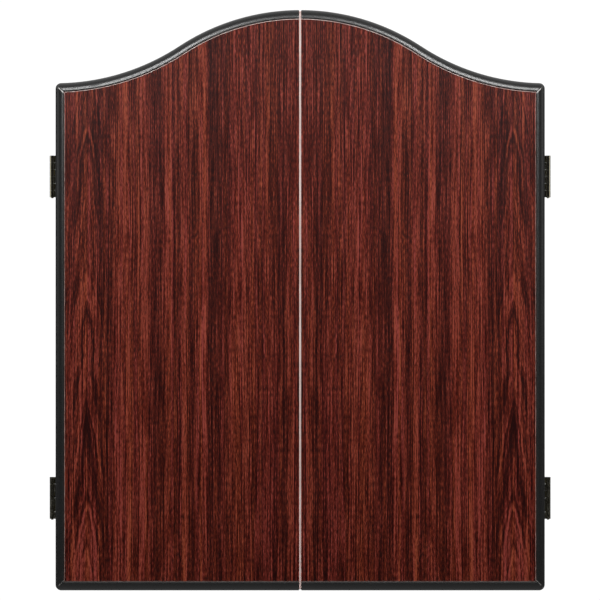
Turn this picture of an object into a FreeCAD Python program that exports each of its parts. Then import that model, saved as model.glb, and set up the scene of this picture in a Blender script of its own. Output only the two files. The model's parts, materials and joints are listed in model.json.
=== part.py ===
import FreeCAD, Part
import math
import os

import Sketcher
from FreeCAD import Placement, Rotation, Vector

# Dart board cabinet with two arched doors, in millimetres.
# +Z is up, the doors face -Y, y = 0 is the wall and the origin is the bull's-eye point on the wall.
# "Depth" means the distance in front of the wall, so a point at depth d lies at y = -d.

SIZES = (
    ("cabinet_wide", 515.0, "overall width of the pair of doors"),
    ("shoulder_high", 534.0, "bottom edge of the doors to the shoulder of the arch"),
    ("arch_rise", 77.0, "shoulder to crown"),
    ("crown_radius", 232.0, "convex middle of the arch"),
    ("corner_radius", 6.0, "outer corners of the doors"),
    ("bull_high", 290.0, "bottom edge of the doors to the bull's-eye"),
    ("box_deep", 72.0, "wall to the front of the box"),
    ("box_inset", 1.0, "how far the box stands inside the outline of the doors"),
    ("back_thick", 9.0, "back panel"),
    ("panel_thick", 15.0, "side and bottom panels"),
    ("arch_thick", 12.0, "bent top panel"),
    ("door_gap", 0.6, "box front to door back"),
    ("door_thick", 17.0, "whole door at its moulding"),
    ("seam_gap", 0.3, "between the two doors"),
    ("band_thick", 0.8, "white band on the meeting edge of a door"),
    ("band_set", 1.2, "band behind the front and ends of the moulding"),
    ("moulding_wide", 9.3, "edge moulding, seen from the front"),
    ("moulding_back", 1.5, "rounded outer back edge of the moulding"),
    ("lip_round", 1.0, "rounded inner edge of the front lip"),
    ("lip_thick", 2.5, "lips of the moulding's channel"),
    ("web_thick", 4.0, "web between the lips"),
    ("face_thick", 0.9, "rosewood face sheet"),
    ("face_bevel", 0.8, "bevel round the face sheet"),
    ("sheet_fit", 0.05, "play between a sheet and the moulding"),
    ("inner_thick", 0.6, "black sheet inside the door"),
    ("board_thick", 1.6, "scoreboard"),
    ("board_low", -190.0, "lower edge of the scoreboard"),
    ("board_high", 200.0, "upper edge of the scoreboard"),
    ("board_near", 14.0, "scoreboard edge beside the seam"),
    ("board_far", 238.0, "scoreboard edge beside the hinges"),
    ("board_corner", 6.0, "scoreboard corners"),
    ("hinge_long", 44.0, "hinge, end to end"),
    ("hinge_upper", 146.0, "middle of the upper hinges"),
    ("hinge_lower", -193.0, "middle of the lower hinges"),
    ("hinge_out", 3.9, "hinge axis outside the door's side"),
    ("barrel_radius", 2.7, "hinge knuckles"),
    ("pin_radius", 1.4, "hinge pin"),
    ("pin_play", 0.05, "radial play of the pin in the turning knuckles"),
    ("pin_show", 1.0, "pin below the lowest knuckle"),
    ("knuckle_gap", 0.16, "between knuckles"),
    ("leaf_thick", 1.5, "hinge leaf"),
    ("leaf_reach", 8.9, "leaf, inwards from the door's side"),
    ("leaf_start", 0.3, "edge of the leaf plate inside the door's side"),
    ("leaf_fit", 0.1, "play round a leaf in its recess"),
    ("hinge_screw_in", 6.0, "hinge screws, inwards from the door's side"),
    ("hinge_screw_pitch", 28.0, "between the two screws of a leaf"),
    ("small_head", 2.5, "radius of the small countersunk head"),
    ("small_shank", 1.3, "radius of the small countersunk screw"),
    ("small_long", 11.0, "length of the small countersunk screw"),
    ("pan_head", 3.3, "radius of the pan head"),
    ("pan_tall", 2.2, "height of the pan head"),
    ("pan_round", 1.0, "rounded rim of the pan head"),
    ("pan_shank", 1.75, "radius of the pan head screw"),
    ("pan_long", 9.0, "length under the pan head"),
    ("back_head", 3.6, "radius of the back panel screw's head"),
    ("back_shank", 1.75, "radius of the back panel screw"),
    ("back_long", 30.0, "length of the back panel screw"),
    ("back_screw_end", 45.0, "back panel screws from the ends of a side panel"),
    ("back_screw_pitch", 100.0, "between back panel screws along the bottom panel"),
    ("back_screw_arch", 80.0, "between back panel screws along the bent top panel"),
    ("cross_reach", 0.6, "arm of a cross recess, as a share of the head's radius"),
    ("cross_slit", 0.13, "half width of a cross recess, as a share of the head's radius"),
    ("cross_deep", 0.4, "depth of a cross recess, as a share of the head's radius"),
    ("dowel_radius", 4.0, "dowel"),
    ("dowel_long", 28.0, "dowel"),
    ("dowel_side", 9.0, "dowel inside the side panel at the bottom joint"),
    ("dowel_top", 7.0, "dowel inside the bent top panel"),
    ("dowel_first", 25.0, "depth of the rear dowel"),
    ("dowel_pitch", 31.0, "between the two dowels of a joint"),
    ("wall_hole_radius", 3.0, "wall screw holes"),
    ("wall_hole_across", 406.4, "between wall screw holes, across"),
    ("wall_hole_up", 400.0, "between wall screw holes, up"),
    ("bracket_thick", 2.0, "hanging bracket plate"),
    ("bracket_stand", 6.0, "free space behind the bracket's middle"),
    ("bracket_half", 20.0, "half width of the bracket's middle"),
    ("bracket_flange", 36.0, "half width over the bracket's flanges"),
    ("bracket_low", -22.0, "lower edge of the bracket"),
    ("bracket_high", 26.0, "upper edge of the bracket"),
    ("slot_half", 4.5, "half width of the bracket's slot"),
    ("slot_mouth", 9.0, "half width of the slot at its mouth"),
    ("slot_neck", 13.0, "height where the slot starts to flare"),
    ("bracket_screw_across", 28.0, "bracket screws from the middle"),
    ("bracket_screw_up", 14.0, "bracket screws above and below the middle"),
    ("catch_half", 22.0, "half width of a catch over its ears"),
    ("catch_block", 15.0, "half width of a catch's block"),
    ("catch_tall", 12.0, "catch block"),
    ("catch_ear", 3.0, "thickness of a catch's ears"),
    ("catch_deep", 15.0, "catch, back to front"),
    ("catch_screw", 18.5, "catch screws from the middle"),
    ("magnet_half", 5.5, "half length of a catch magnet"),
    ("magnet_tall", 4.0, "catch magnet"),
    ("magnet_deep", 12.0, "catch magnet, back to front"),
    ("magnet_mid", 8.0, "middle of a magnet from the seam"),
    ("pole_thick", 1.2, "steel plate on each side of a magnet"),
    ("pole_show", 0.6, "pole plates in front of the catch block"),
    ("pole_gap", 0.3, "pole plates to strike plate, doors shut"),
    ("strike_thick", 1.4, "strike plate"),
    ("strike_near", 1.5, "strike plate edge beside the seam"),
    ("strike_wide", 13.0, "strike plate"),
    ("strike_tall", 12.0, "strike plate"),
    ("rack_out", 240.0, "outer end of the dart rack"),
    ("rack_wide", 60.0, "dart rack"),
    ("rack_low", -262.0, "bottom of the dart rack"),
    ("rack_tall", 30.0, "dart rack"),
    ("rack_deep", 24.0, "dart rack"),
    ("rack_wall", 3.0, "shelves of the dart rack"),
    ("rack_back", 2.5, "back of the dart rack"),
    ("rack_round", 5.0, "front corners of the rack's shelves"),
    ("rack_pitch", 19.0, "between dart holes"),
    ("rack_row", 10.0, "dart holes behind the rack's front"),
    ("dart_hole", 4.0, "radius of the barrel holes"),
    ("tip_hole", 1.75, "radius of the holes for the points"),
    ("bumper_radius", 3.0, "rubber bumper"),
    ("bumper_deep", 3.0, "bumper inside the box"),
    ("bumper_show", 0.3, "bumper in front of the box"),
    ("bumper_round", 0.27, "rounded rim of a bumper"),
    ("bumper_low_x", 120.0, "lower bumpers from the middle"),
    ("bumper_top_x", 60.0, "upper bumpers from the middle"),
    ("bumper_edge", 5.0, "bumpers inside the outline of the doors"),
    ("cut_past", 1.0, "how far a cut runs past the surface that it opens"),
)

doc = FreeCAD.newDocument("dart_board_cabinet")
sheet = doc.addObject("Spreadsheet::Sheet", "Size")
for row, (alias, value, note) in enumerate(SIZES, start=1):
    sheet.set(f"A{row}", note)
    sheet.set(f"B{row}", str(value))
    sheet.setAlias(f"B{row}", alias)
doc.recompute()

# Places that several sub-parts share, as expressions in the sheet's cells.
HALF = "(Size.cabinet_wide / 2)"
BOTTOM = "(0 - Size.bull_high)"
SHOULDER = "(Size.shoulder_high - Size.bull_high)"
DIP_RADIUS = f"(({HALF} ^ 2 + Size.arch_rise ^ 2) / (2 * Size.arch_rise) - Size.crown_radius)"
DIP_Z = f"({SHOULDER} + {DIP_RADIUS})"
CROWN_Z = f"({SHOULDER} + Size.arch_rise - Size.crown_radius)"
LEAN = f"atan({HALF} / ({DIP_Z} - {CROWN_Z}))"
CORNER_REACH = f"({DIP_RADIUS} + Size.corner_radius)"
CORNER_DROP = f"sqrt({CORNER_REACH} ^ 2 - Size.corner_radius ^ 2)"
CORNER_LEAN = f"asin(Size.corner_radius / {CORNER_REACH})"
CORNER_X = f"(Size.corner_radius - {HALF})"
CORNER_LOW = f"({BOTTOM} + Size.corner_radius)"
CORNER_HIGH = f"({DIP_Z} - {CORNER_DROP})"
SEAM = "(Size.seam_gap / 2)"
DOOR_EDGE = f"(0 - {SEAM} - Size.band_thick)"
BOX_SIDE = f"({HALF} - Size.box_inset)"
BOX_INSIDE = f"({BOX_SIDE} - Size.panel_thick)"
BOX_FLOOR = f"({BOTTOM} + Size.box_inset + Size.panel_thick)"
MOULDING_ROUND = "(Size.moulding_wide - Size.lip_round)"
DOOR_BACK = "(Size.box_deep + Size.door_gap)"
DOOR_FRONT = f"({DOOR_BACK} + Size.door_thick)"
CORE_BACK = f"({DOOR_BACK} + Size.lip_thick)"
CORE_FRONT = f"({DOOR_FRONT} - Size.lip_thick)"
INNER_FACE = f"({CORE_BACK} - Size.inner_thick)"
AXIS_X = f"({HALF} + Size.hinge_out)"
AXIS_DEPTH = "(Size.box_deep + Size.door_gap / 2)"
STRIKE_FACE = f"({INNER_FACE} - Size.strike_thick)"
POLE_FRONT = f"({STRIKE_FACE} - Size.pole_gap)"
CATCH_FRONT = f"({POLE_FRONT} - Size.pole_show)"
CATCH_CEILING = (
    f"({CROWN_Z} + sqrt((Size.crown_radius - Size.box_inset - Size.arch_thick) ^ 2"
    " - Size.catch_half ^ 2))"
)
HINGES = {"upper": "Size.hinge_upper", "lower": "Size.hinge_lower"}
KNUCKLES = 6  # knuckles of a hinge, taken in turn by its two leaves

pieces = {}


def number(expression):
    """Value of an expression in the sheet's names."""
    value = sheet.evalExpression(expression)
    return float(getattr(value, "Value", value))


def new_body(label):
    body = doc.addObject("PartDesign::Body", label)
    body.Label = label
    body.AllowCompound = True
    pieces[label] = body
    return body


def origin_of(body, role):
    return next(item for item in body.Origin.OriginFeatures if item.Role == role)


def new_sketch(body, role, across="0", up="0", out="0", turn=None):
    """Sketch on an origin plane, moved in its own directions and turned about its across axis."""
    sketch = body.newObject("Sketcher::SketchObject", "Sketch")
    sketch.AttachmentSupport = [(origin_of(body, role), "")]
    sketch.MapMode = "FlatFace"
    if turn:
        sketch.AttachmentOffset = Placement(Vector(), Rotation(Vector(1, 0, 0), number(turn)))
        sketch.setExpression("AttachmentOffset.Rotation.Angle", turn)
    sketch.setExpression("AttachmentOffset.Base.x", across)
    sketch.setExpression("AttachmentOffset.Base.y", up)
    sketch.setExpression("AttachmentOffset.Base.z", out)
    return sketch


def hold_point(sketch, index, end, across, up):
    """Bind one end of a sketch edge, or a circle's centre, to its two expressions."""
    for kind, axis, expression in (("DistanceX", -2, across), ("DistanceY", -1, up)):
        value = number(expression)
        if abs(value) < 1e-9:
            sketch.addConstraint(Sketcher.Constraint("PointOnObject", index, end, axis))
            continue
        held = sketch.addConstraint(Sketcher.Constraint(kind, -1, 1, index, end, value))
        sketch.setExpression(f"Constraints[{held}]", expression)


def arc_edge(start, end, radius, turn):
    """Short arc from start to end; it turns left (anticlockwise) or right."""
    chord = end - start
    side = 1 if turn == "left" else -1
    height = math.sqrt(radius ** 2 - (chord.Length / 2) ** 2)
    normal = Vector(-chord.y, chord.x, 0).normalize() * side
    centre = (start + end) * 0.5 + normal * height
    angles = [math.atan2(point.y - centre.y, point.x - centre.x) for point in (start, end)]
    if turn == "right":
        angles.reverse()
    if angles[1] < angles[0]:
        angles[1] += 2 * math.pi
    return Part.ArcOfCircle(Part.Circle(centre, Vector(0, 0, 1), radius), *angles)


def draw_loop(sketch, corners):
    """Closed loop of corners: (across, up), or (across, up, turn, radius) where an arc arrives."""
    points = [Vector(number(corner[0]), number(corner[1]), 0) for corner in corners]
    edges = []
    for at, corner in enumerate(corners):
        start = points[at - 1]
        if len(corner) == 2:
            index = sketch.addGeometry(Part.LineSegment(start, points[at]), False)
            edges.append((index, 1, 2))
            continue
        index = sketch.addGeometry(arc_edge(start, points[at], number(corner[3]), corner[2]), False)
        edges.append((index, 1, 2) if corner[2] == "left" else (index, 2, 1))
    for at, corner in enumerate(corners):
        index, first, last = edges[at]
        following = edges[(at + 1) % len(edges)]
        sketch.addConstraint(Sketcher.Constraint("Coincident", index, last, following[0], following[1]))
        hold_point(sketch, index, last, corner[0], corner[1])
        if len(corner) == 4:
            held = sketch.addConstraint(Sketcher.Constraint("Radius", index, number(corner[3])))
            sketch.setExpression(f"Constraints[{held}]", corner[3])


def draw_box(sketch, left, low, right, high):
    draw_loop(sketch, [(left, low), (right, low), (right, high), (left, high)])


def draw_circles(sketch, centres, radius):
    for across, up in centres:
        circle = Part.Circle(Vector(number(across), number(up), 0), Vector(0, 0, 1), number(radius))
        index = sketch.addGeometry(circle, False)
        hold_point(sketch, index, 3, across, up)
        held = sketch.addConstraint(Sketcher.Constraint("Radius", index, number(radius)))
        sketch.setExpression(f"Constraints[{held}]", radius)


def feature(body, kind, sketch, length, backwards=False):
    made = body.newObject(f"PartDesign::{kind}", kind)
    made.Profile = sketch
    made.setExpression("Length", length)
    made.Reversed = backwards
    return made


def pad_front(body, corners, depth, thick):
    """Plate drawn from the front, standing from the given depth forwards."""
    sketch = new_sketch(body, "XZ_Plane", out=depth)
    draw_loop(sketch, corners)
    return feature(body, "Pad", sketch, thick)


def cut_front(body, corners, depth, length, forwards=False):
    """Recess drawn from the front, cut from the given depth towards the wall or forwards."""
    sketch = new_sketch(body, "XZ_Plane", out=depth)
    draw_loop(sketch, corners)
    return feature(body, "Pocket", sketch, length, forwards)


def drill(body, role, out, centres, radius, length, forwards=False):
    """Round holes against the plane's normal, or along it when forwards is true."""
    sketch = new_sketch(body, role, out=out)
    draw_circles(sketch, centres, radius)
    return feature(body, "Pocket", sketch, length, forwards)


def countersink(body, depth, centres, head, shank, forwards=False):
    """Right-angled countersinks whose wide ends lie at the given depth."""
    cut = drill(body, "XZ_Plane", depth, centres, head, f"{head} - {shank}", forwards)
    cut.TaperAngle = -45
    return cut


def mirror_across(body, made):
    """Repeat features on the other side of the middle plane."""
    mirrored = body.newObject("PartDesign::Mirrored", "Mirrored")
    mirrored.Originals = made
    mirrored.MirrorPlane = (origin_of(body, "YZ_Plane"), [""])
    body.Tip = mirrored
    return mirrored


def soften(body, base, kind, size, wanted):
    """Fillet or chamfer the edges of the base feature that the wanted test accepts."""
    doc.recompute()
    names = [f"Edge{at}" for at, edge in enumerate(base.Shape.Edges, start=1) if wanted(edge)]
    made = body.newObject(f"PartDesign::{kind}", kind)
    made.Base = (base, names)
    made.setExpression("Radius" if kind == "Fillet" else "Size", size)
    return made


def at_value(value, expression):
    return abs(value - number(expression)) < 1e-3


def both_sides(points):
    """The given places and the same places on the other side of the middle plane."""
    return [place for x, up in points for place in ((x, up), (f"0 - {x}", up))]


# Outlines of the arch -------------------------------------------------------------------------

def dip_height(inside, from_side):
    """Height of the concave arc, moved inside the outline, at a distance from the side edge."""
    return f"({DIP_Z} - sqrt(({DIP_RADIUS} + {inside}) ^ 2 - ({from_side}) ^ 2))"


def crown_height(inside, across="0"):
    return f"({CROWN_Z} + sqrt((Size.crown_radius - ({inside})) ^ 2 - ({across}) ^ 2))"


def inflection(inside):
    """Where the concave arc of the left side meets the convex crown."""
    share = f"((Size.crown_radius - ({inside})) / (Size.crown_radius + {DIP_RADIUS}))"
    return f"(0 - {HALF} * {share})", f"({CROWN_Z} + ({DIP_Z} - {CROWN_Z}) * {share})"


def shoulder_end(inside):
    """Where the round corner of the shoulder meets the concave arc."""
    share = f"((Size.corner_radius - ({inside})) / {CORNER_REACH})"
    return (
        f"({CORNER_X} - Size.corner_radius * {share})",
        f"({CORNER_HIGH} + {CORNER_DROP} * {share})",
    )


def half_outline(inside, edge, rounded):
    """Left half of the arched outline, moved inside by a distance and closed at an upright edge."""
    side = f"({inside} - {HALF})"
    floor = f"({BOTTOM} + {inside})"
    dip = f"{DIP_RADIUS} + {inside}"
    crown = f"Size.crown_radius - ({inside})"
    if rounded:
        corner = f"Size.corner_radius - ({inside})"
        left = [
            (CORNER_X, floor),
            (side, CORNER_LOW, "right", corner),
            (side, CORNER_HIGH),
            (*shoulder_end(inside), "right", corner),
        ]
    else:
        left = [(side, floor), (side, dip_height(inside, inside))]
    return [
        (edge, floor),
        *left,
        (*inflection(inside), "left", dip),
        (edge, crown_height(inside, edge), "right", crown),
    ]


# Fasteners ------------------------------------------------------------------------------------

def cross_outline(reach, slit):
    """Corners of an upright cross, anticlockwise from the right-hand end of its top arm."""
    left_reach, left_slit = f"0 - {reach}", f"0 - {slit}"
    return [
        (slit, reach), (left_slit, reach), (left_slit, slit), (left_reach, slit),
        (left_reach, left_slit), (left_slit, left_slit), (left_slit, left_reach), (slit, left_reach),
        (slit, left_slit), (reach, left_slit), (reach, slit), (slit, slit),
    ]


def screw(label, corners, head, top):
    """One screw along -Z, turned from half its section, with a cross recess in its head's top."""
    body = new_body(label)
    section = new_sketch(body, "XZ_Plane")
    draw_loop(section, corners)
    turned = body.newObject("PartDesign::Revolution", "Revolution")
    turned.Profile = section
    turned.ReferenceAxis = (section, ["V_Axis"])
    turned.Angle = 360
    cross = new_sketch(body, "XY_Plane", out=top)
    draw_loop(cross, cross_outline(f"{head} * Size.cross_reach", f"{head} * Size.cross_slit"))
    feature(body, "Pocket", cross, f"{head} * Size.cross_deep")
    return pieces.pop(label)


def countersunk_screw(label, head, shank, length):
    neck = f"({shank} - {head})"
    tip = f"{shank} - {length}"
    blunt = f"{shank} / 4"
    corners = [("0", "0"), (head, "0"), (shank, neck), (shank, tip), (blunt, f"0 - {length}"),
               ("0", f"0 - {length}")]
    return screw(label, corners, head, "0")


def pan_screw(label):
    shank, length = "Size.pan_shank", "Size.pan_long"
    head, top, rim = "Size.pan_head", "Size.pan_tall", "Size.pan_round"
    corners = [("0", top), ("0", f"0 - {length}"), (f"{shank} / 4", f"0 - {length}"),
               (shank, f"{shank} - {length}"), (shank, "0"), (head, "0"),
               (head, f"{top} - {rim}"), (f"{head} - {rim}", top, "left", rim)]
    return screw(label, corners, head, top)


def fastener_group(label, fastener, places, heading):
    """Copies of one fastener at (x, depth, z) places, their heads facing the given direction."""
    turn = Rotation(Vector(0, 0, 1), Vector(*heading))
    copies = []
    for x, depth, z in places:
        copy = fastener.Shape.copy()
        copy.Placement = Placement(Vector(number(x), -number(depth), number(z)), turn)
        copies.append(copy)
    group = doc.addObject("Part::Feature", label)
    group.Label = label
    group.Shape = Part.makeCompound(copies)
    group.Placement = Placement()
    pieces[label] = group
    return group


# Box ------------------------------------------------------------------------------------------

def back_screw_places():
    """Places of the back panel's screws, grouped by the panel that each one bites into."""
    middle = f"{BOX_SIDE} - Size.panel_thick / 2"
    arch_in = "(Size.box_inset + Size.arch_thick / 2)"
    floor = f"{BOX_FLOOR} - Size.panel_thick / 2"
    low, high = f"{BOTTOM} + Size.back_screw_end", f"{SHOULDER} - Size.back_screw_end"
    along_floor = [f"Size.back_screw_pitch * {share}" for share in (-1.5, -0.5, 0.5, 1.5)]
    along_arch = [f"Size.back_screw_arch * {share}" for share in (-1, 0, 1)]
    return {
        "side": [(f"0 - ({middle})", up) for up in (low, f"({BOTTOM} + {SHOULDER}) / 2", high)],
        "bottom": [(x, floor) for x in along_floor],
        "arch": [(x, crown_height(arch_in, x)) for x in along_arch],
    }


def wall_holes():
    across, up = "Size.wall_hole_across / 2", "Size.wall_hole_up / 2"
    return both_sides([(across, up), (across, f"0 - {up}")])


def bracket_holes():
    across, up = "Size.bracket_screw_across", "Size.bracket_screw_up"
    return both_sides([(across, up), (across, f"0 - {up}")])


def all_back_screws():
    groups = back_screw_places()
    right_side = [(f"0 - ({x})", up) for x, up in groups["side"]]
    return groups["side"] + right_side + groups["bottom"] + groups["arch"]


def back_panel():
    body = new_body("back_panel")
    half = pad_front(body, half_outline("Size.box_inset", "0", True), "0", "Size.back_thick")
    mirror_across(body, [half])
    screws = all_back_screws()
    drill(body, "XZ_Plane", "0", screws, "Size.back_shank", "Size.back_thick", True)
    countersink(body, "0", screws, "Size.back_head", "Size.back_shank", True)
    drill(body, "XZ_Plane", "0", wall_holes(), "Size.wall_hole_radius", "Size.back_thick", True)
    bite = "Size.pan_long - Size.bracket_thick"
    drill(body, "XZ_Plane", "Size.back_thick", bracket_holes(), "Size.pan_shank", bite)


def dowel_depths():
    return ("(0 - Size.dowel_first)", "(0 - Size.dowel_first - Size.dowel_pitch)")


def low_dowels():
    """Centres (y, z) of the dowels between a side panel and the bottom panel."""
    return [(depth, f"{BOX_FLOOR} - Size.panel_thick / 2") for depth in dowel_depths()]


def high_dowels():
    """Centres (x, y) of the dowels between the left side panel and the bent top panel."""
    return [(f"(Size.panel_thick / 2 - {BOX_SIDE})", depth) for depth in dowel_depths()]


def high_joint():
    """Height of the joint above the middle of a side panel."""
    return dip_height("Size.box_inset + Size.arch_thick", "Size.box_inset + Size.panel_thick / 2")


LOW_DOWEL_END = f"(Size.dowel_long - Size.dowel_side - {BOX_INSIDE})"


def side_panel():
    """Left side panel, with its hinge recesses, dowel holes and screw holes."""
    body = new_body("side_panel_left")
    outer = f"(0 - {BOX_SIDE})"
    inner = f"(0 - {BOX_INSIDE})"
    under = "(Size.box_inset + Size.arch_thick)"
    corner = "Size.corner_radius - Size.box_inset"
    corners = [
        (inner, f"{BOTTOM} + Size.box_inset"),
        (CORNER_X, f"{BOTTOM} + Size.box_inset"),
        (outer, CORNER_LOW, "right", corner),
        (outer, dip_height(under, "Size.box_inset")),
        (inner, dip_height(under, "Size.box_inset + Size.panel_thick"), "left", f"{DIP_RADIUS} + {under}"),
    ]
    pad_front(body, corners, "Size.back_thick", "Size.box_deep - Size.back_thick")
    for middle in HINGES.values():
        high = f"({middle} + Size.hinge_long / 2 + Size.leaf_fit)"
        low = f"({middle} - Size.hinge_long / 2 - Size.leaf_fit)"
        end = f"(Size.leaf_reach + Size.leaf_fit - {HALF})"
        past = f"{outer} - Size.cut_past"
        recess = [(past, low), (end, low), (end, high), (past, high)]
        cut_front(body, recess, "Size.box_deep", "Size.leaf_thick")
    shank = "Size.small_shank"
    drill(body, "XZ_Plane", "Size.box_deep", hinge_screws(), shank, "Size.small_long")
    side_screws = back_screw_places()["side"]
    drill(body, "XZ_Plane", "0", side_screws, "Size.back_shank", "Size.back_long", True)
    drill(body, "YZ_Plane", LOW_DOWEL_END, low_dowels(), "Size.dowel_radius", "Size.dowel_long")
    top = f"{high_joint()} + Size.dowel_top"
    drill(body, "XY_Plane", top, high_dowels(), "Size.dowel_radius", "Size.dowel_long")


def catch_screws():
    """Centres (x, y) of a catch's two screws."""
    depth = f"(Size.catch_deep / 2 - {CATCH_FRONT})"
    return [("Size.catch_screw", depth), ("0 - Size.catch_screw", depth)]


def bumper_places():
    low = f"{BOTTOM} + Size.bumper_edge"
    high = crown_height("Size.bumper_edge", "Size.bumper_top_x")
    return both_sides([("Size.bumper_low_x", low)]), both_sides([("Size.bumper_top_x", high)])


def bottom_panel():
    body = new_body("bottom_panel")
    inner, low = BOX_INSIDE, f"({BOTTOM} + Size.box_inset)"
    corners = [(f"0 - {inner}", low), (inner, low), (inner, BOX_FLOOR), (f"0 - {inner}", BOX_FLOOR)]
    pad_front(body, corners, "Size.back_thick", "Size.box_deep - Size.back_thick")
    screws = back_screw_places()["bottom"]
    drill(body, "XZ_Plane", "0", screws, "Size.back_shank", "Size.back_long", True)
    left = drill(body, "YZ_Plane", LOW_DOWEL_END, low_dowels(), "Size.dowel_radius", "Size.dowel_long")
    mirror_across(body, [left])
    bite = "Size.pan_long - Size.catch_ear"
    drill(body, "XY_Plane", BOX_FLOOR, catch_screws(), "Size.pan_shank", bite)
    bumpers = bumper_places()[0]
    drill(body, "XZ_Plane", "Size.box_deep", bumpers, "Size.bumper_radius", "Size.bumper_deep")


def arch_top_panel():
    """Bent panel that follows the arch and rests on the side panels."""
    body = new_body("arch_top_panel")
    outer = "Size.box_inset"
    under = "(Size.box_inset + Size.arch_thick)"
    side = f"(0 - {BOX_SIDE})"
    corners = [
        ("0", crown_height(under)),
        (*inflection(under), "left", f"Size.crown_radius - {under}"),
        (side, dip_height(under, "Size.box_inset"), "right", f"{DIP_RADIUS} + {under}"),
        (side, CORNER_HIGH),
        (*shoulder_end(outer), "right", f"Size.corner_radius - {outer}"),
        (*inflection(outer), "left", f"{DIP_RADIUS} + {outer}"),
        ("0", crown_height(outer), "right", f"Size.crown_radius - {outer}"),
    ]
    half = pad_front(body, corners, "Size.back_thick", "Size.box_deep - Size.back_thick")
    mirror_across(body, [half])
    top = f"{high_joint()} + Size.dowel_top"
    left = drill(body, "XY_Plane", top, high_dowels(), "Size.dowel_radius", "Size.dowel_long")
    mirror_across(body, [left])
    screws = back_screw_places()["arch"]
    drill(body, "XZ_Plane", "0", screws, "Size.back_shank", "Size.back_long", True)
    bite = "Size.pan_long - Size.catch_ear"
    drill(body, "XY_Plane", CATCH_CEILING, catch_screws(), "Size.pan_shank", bite, True)
    bumpers = bumper_places()[1]
    drill(body, "XZ_Plane", "Size.box_deep", bumpers, "Size.bumper_radius", "Size.bumper_deep")


def carcass_dowels():
    """Four dowels across the bottom joints and four upright ones under the bent top panel."""
    body = new_body("carcass_dowels")
    flat = new_sketch(body, "YZ_Plane", out=LOW_DOWEL_END)
    draw_circles(flat, low_dowels(), "Size.dowel_radius")
    low = feature(body, "Pad", flat, "Size.dowel_long", True)
    upright = new_sketch(body, "XY_Plane", out=f"{high_joint()} + Size.dowel_top")
    draw_circles(upright, high_dowels(), "Size.dowel_radius")
    high = feature(body, "Pad", upright, "Size.dowel_long", True)
    mirror_across(body, [low, high])


def board_bracket():
    """Steel hat section with an open slot that takes the screw on a dart board's back."""
    body = new_body("board_bracket")
    wall = "(0 - Size.back_thick)"
    flange = f"({wall} - Size.bracket_thick)"
    behind = f"({wall} - Size.bracket_stand)"
    front = f"({behind} - Size.bracket_thick)"
    middle, end = "Size.bracket_half", "Size.bracket_flange"
    inside = "(Size.bracket_half - Size.bracket_thick)"
    left = [(f"0 - {end}", flange), (f"0 - {end}", wall), (f"0 - {inside}", wall), (f"0 - {inside}", behind)]
    right = [(inside, behind), (inside, wall), (end, wall), (end, flange)]
    step = [(middle, flange), (middle, front), (f"0 - {middle}", front), (f"0 - {middle}", flange)]
    sketch = new_sketch(body, "XY_Plane", out="Size.bracket_low")
    draw_loop(sketch, left + right + step)
    hat = feature(body, "Pad", sketch, "Size.bracket_high - Size.bracket_low")
    bent = soften(body, hat, "Fillet", "Size.bracket_thick / 2", is_bend)
    body.Tip = bent
    slot, mouth = "Size.slot_half", "Size.slot_mouth"
    past = "Size.bracket_high + Size.cut_past"
    opening = [
        (f"0 - {slot}", "0"),
        ("0", f"0 - {slot}", "left", slot),
        (slot, "0", "left", slot),
        (slot, "Size.slot_neck"),
        (mouth, past),
        (f"0 - {mouth}", past),
        (f"0 - {slot}", "Size.slot_neck"),
    ]
    cut_front(body, opening, f"0 - {front}", "Size.bracket_thick + Size.cut_past")
    drill(body, "XZ_Plane", f"0 - {flange}", bracket_holes(), "Size.pan_shank", "Size.bracket_thick")


def is_bend(edge):
    """Upright edges where the bracket's plate is folded."""
    x, y = abs(edge.CenterOfMass.x), edge.CenterOfMass.y
    folds = ("Size.bracket_half", "Size.bracket_half - Size.bracket_thick")
    upright = abs(edge.tangentAt(edge.FirstParameter).z) > 0.9
    on_wall = at_value(y, "0 - Size.back_thick")
    return upright and not on_wall and any(at_value(x, fold) for fold in folds)


def catch_block(label, surface, sign):
    """Plastic housing of a double magnetic catch on a surface at the given height."""
    body = new_body(label)
    half, block = "Size.catch_half", "Size.catch_block"
    ear, tall = f"({surface} {sign} Size.catch_ear)", f"({surface} {sign} Size.catch_tall)"
    corners = [(f"0 - {half}", surface), (half, surface), (half, ear), (block, ear), (block, tall),
               (f"0 - {block}", tall), (f"0 - {block}", ear), (f"0 - {half}", ear)]
    back = f"{CATCH_FRONT} - Size.catch_deep"
    padded = pad_front(body, corners, back, "Size.catch_deep")
    soften(body, padded, "Fillet", "Size.catch_ear / 4", is_catch_edge)
    middle = f"({surface} {sign} Size.catch_tall / 2)"
    tall_half = "(Size.magnet_tall / 2 + Size.pole_thick)"
    for side in ("0 -", "0 +"):
        centre = f"({side} Size.magnet_mid)"
        pocket = [
            (f"{centre} - Size.magnet_half", f"{middle} - {tall_half}"),
            (f"{centre} + Size.magnet_half", f"{middle} - {tall_half}"),
            (f"{centre} + Size.magnet_half", f"{middle} + {tall_half}"),
            (f"{centre} - Size.magnet_half", f"{middle} + {tall_half}"),
        ]
        cut_front(body, pocket, CATCH_FRONT, "Size.magnet_deep")
    reach = f"{surface} {sign} Size.catch_ear"
    drill(body, "XY_Plane", reach, catch_screws(), "Size.pan_shank", "Size.catch_ear", sign == "-")


def is_catch_edge(edge):
    """Front outline of a catch's raised block."""
    centre = edge.CenterOfMass
    front = at_value(centre.y, f"0 - {CATCH_FRONT}")
    block, ear = number("Size.catch_block"), number("Size.catch_ear")
    on_block = abs(centre.x) < block * 1.01
    return front and on_block and ear * 2 < edge.Length < block * 2.01


def catch_levels():
    """Heights of the middles of the two catches, bottom and top."""
    half = "Size.catch_tall / 2"
    return f"({BOX_FLOOR} + {half})", f"({CATCH_CEILING} - {half})"


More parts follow.
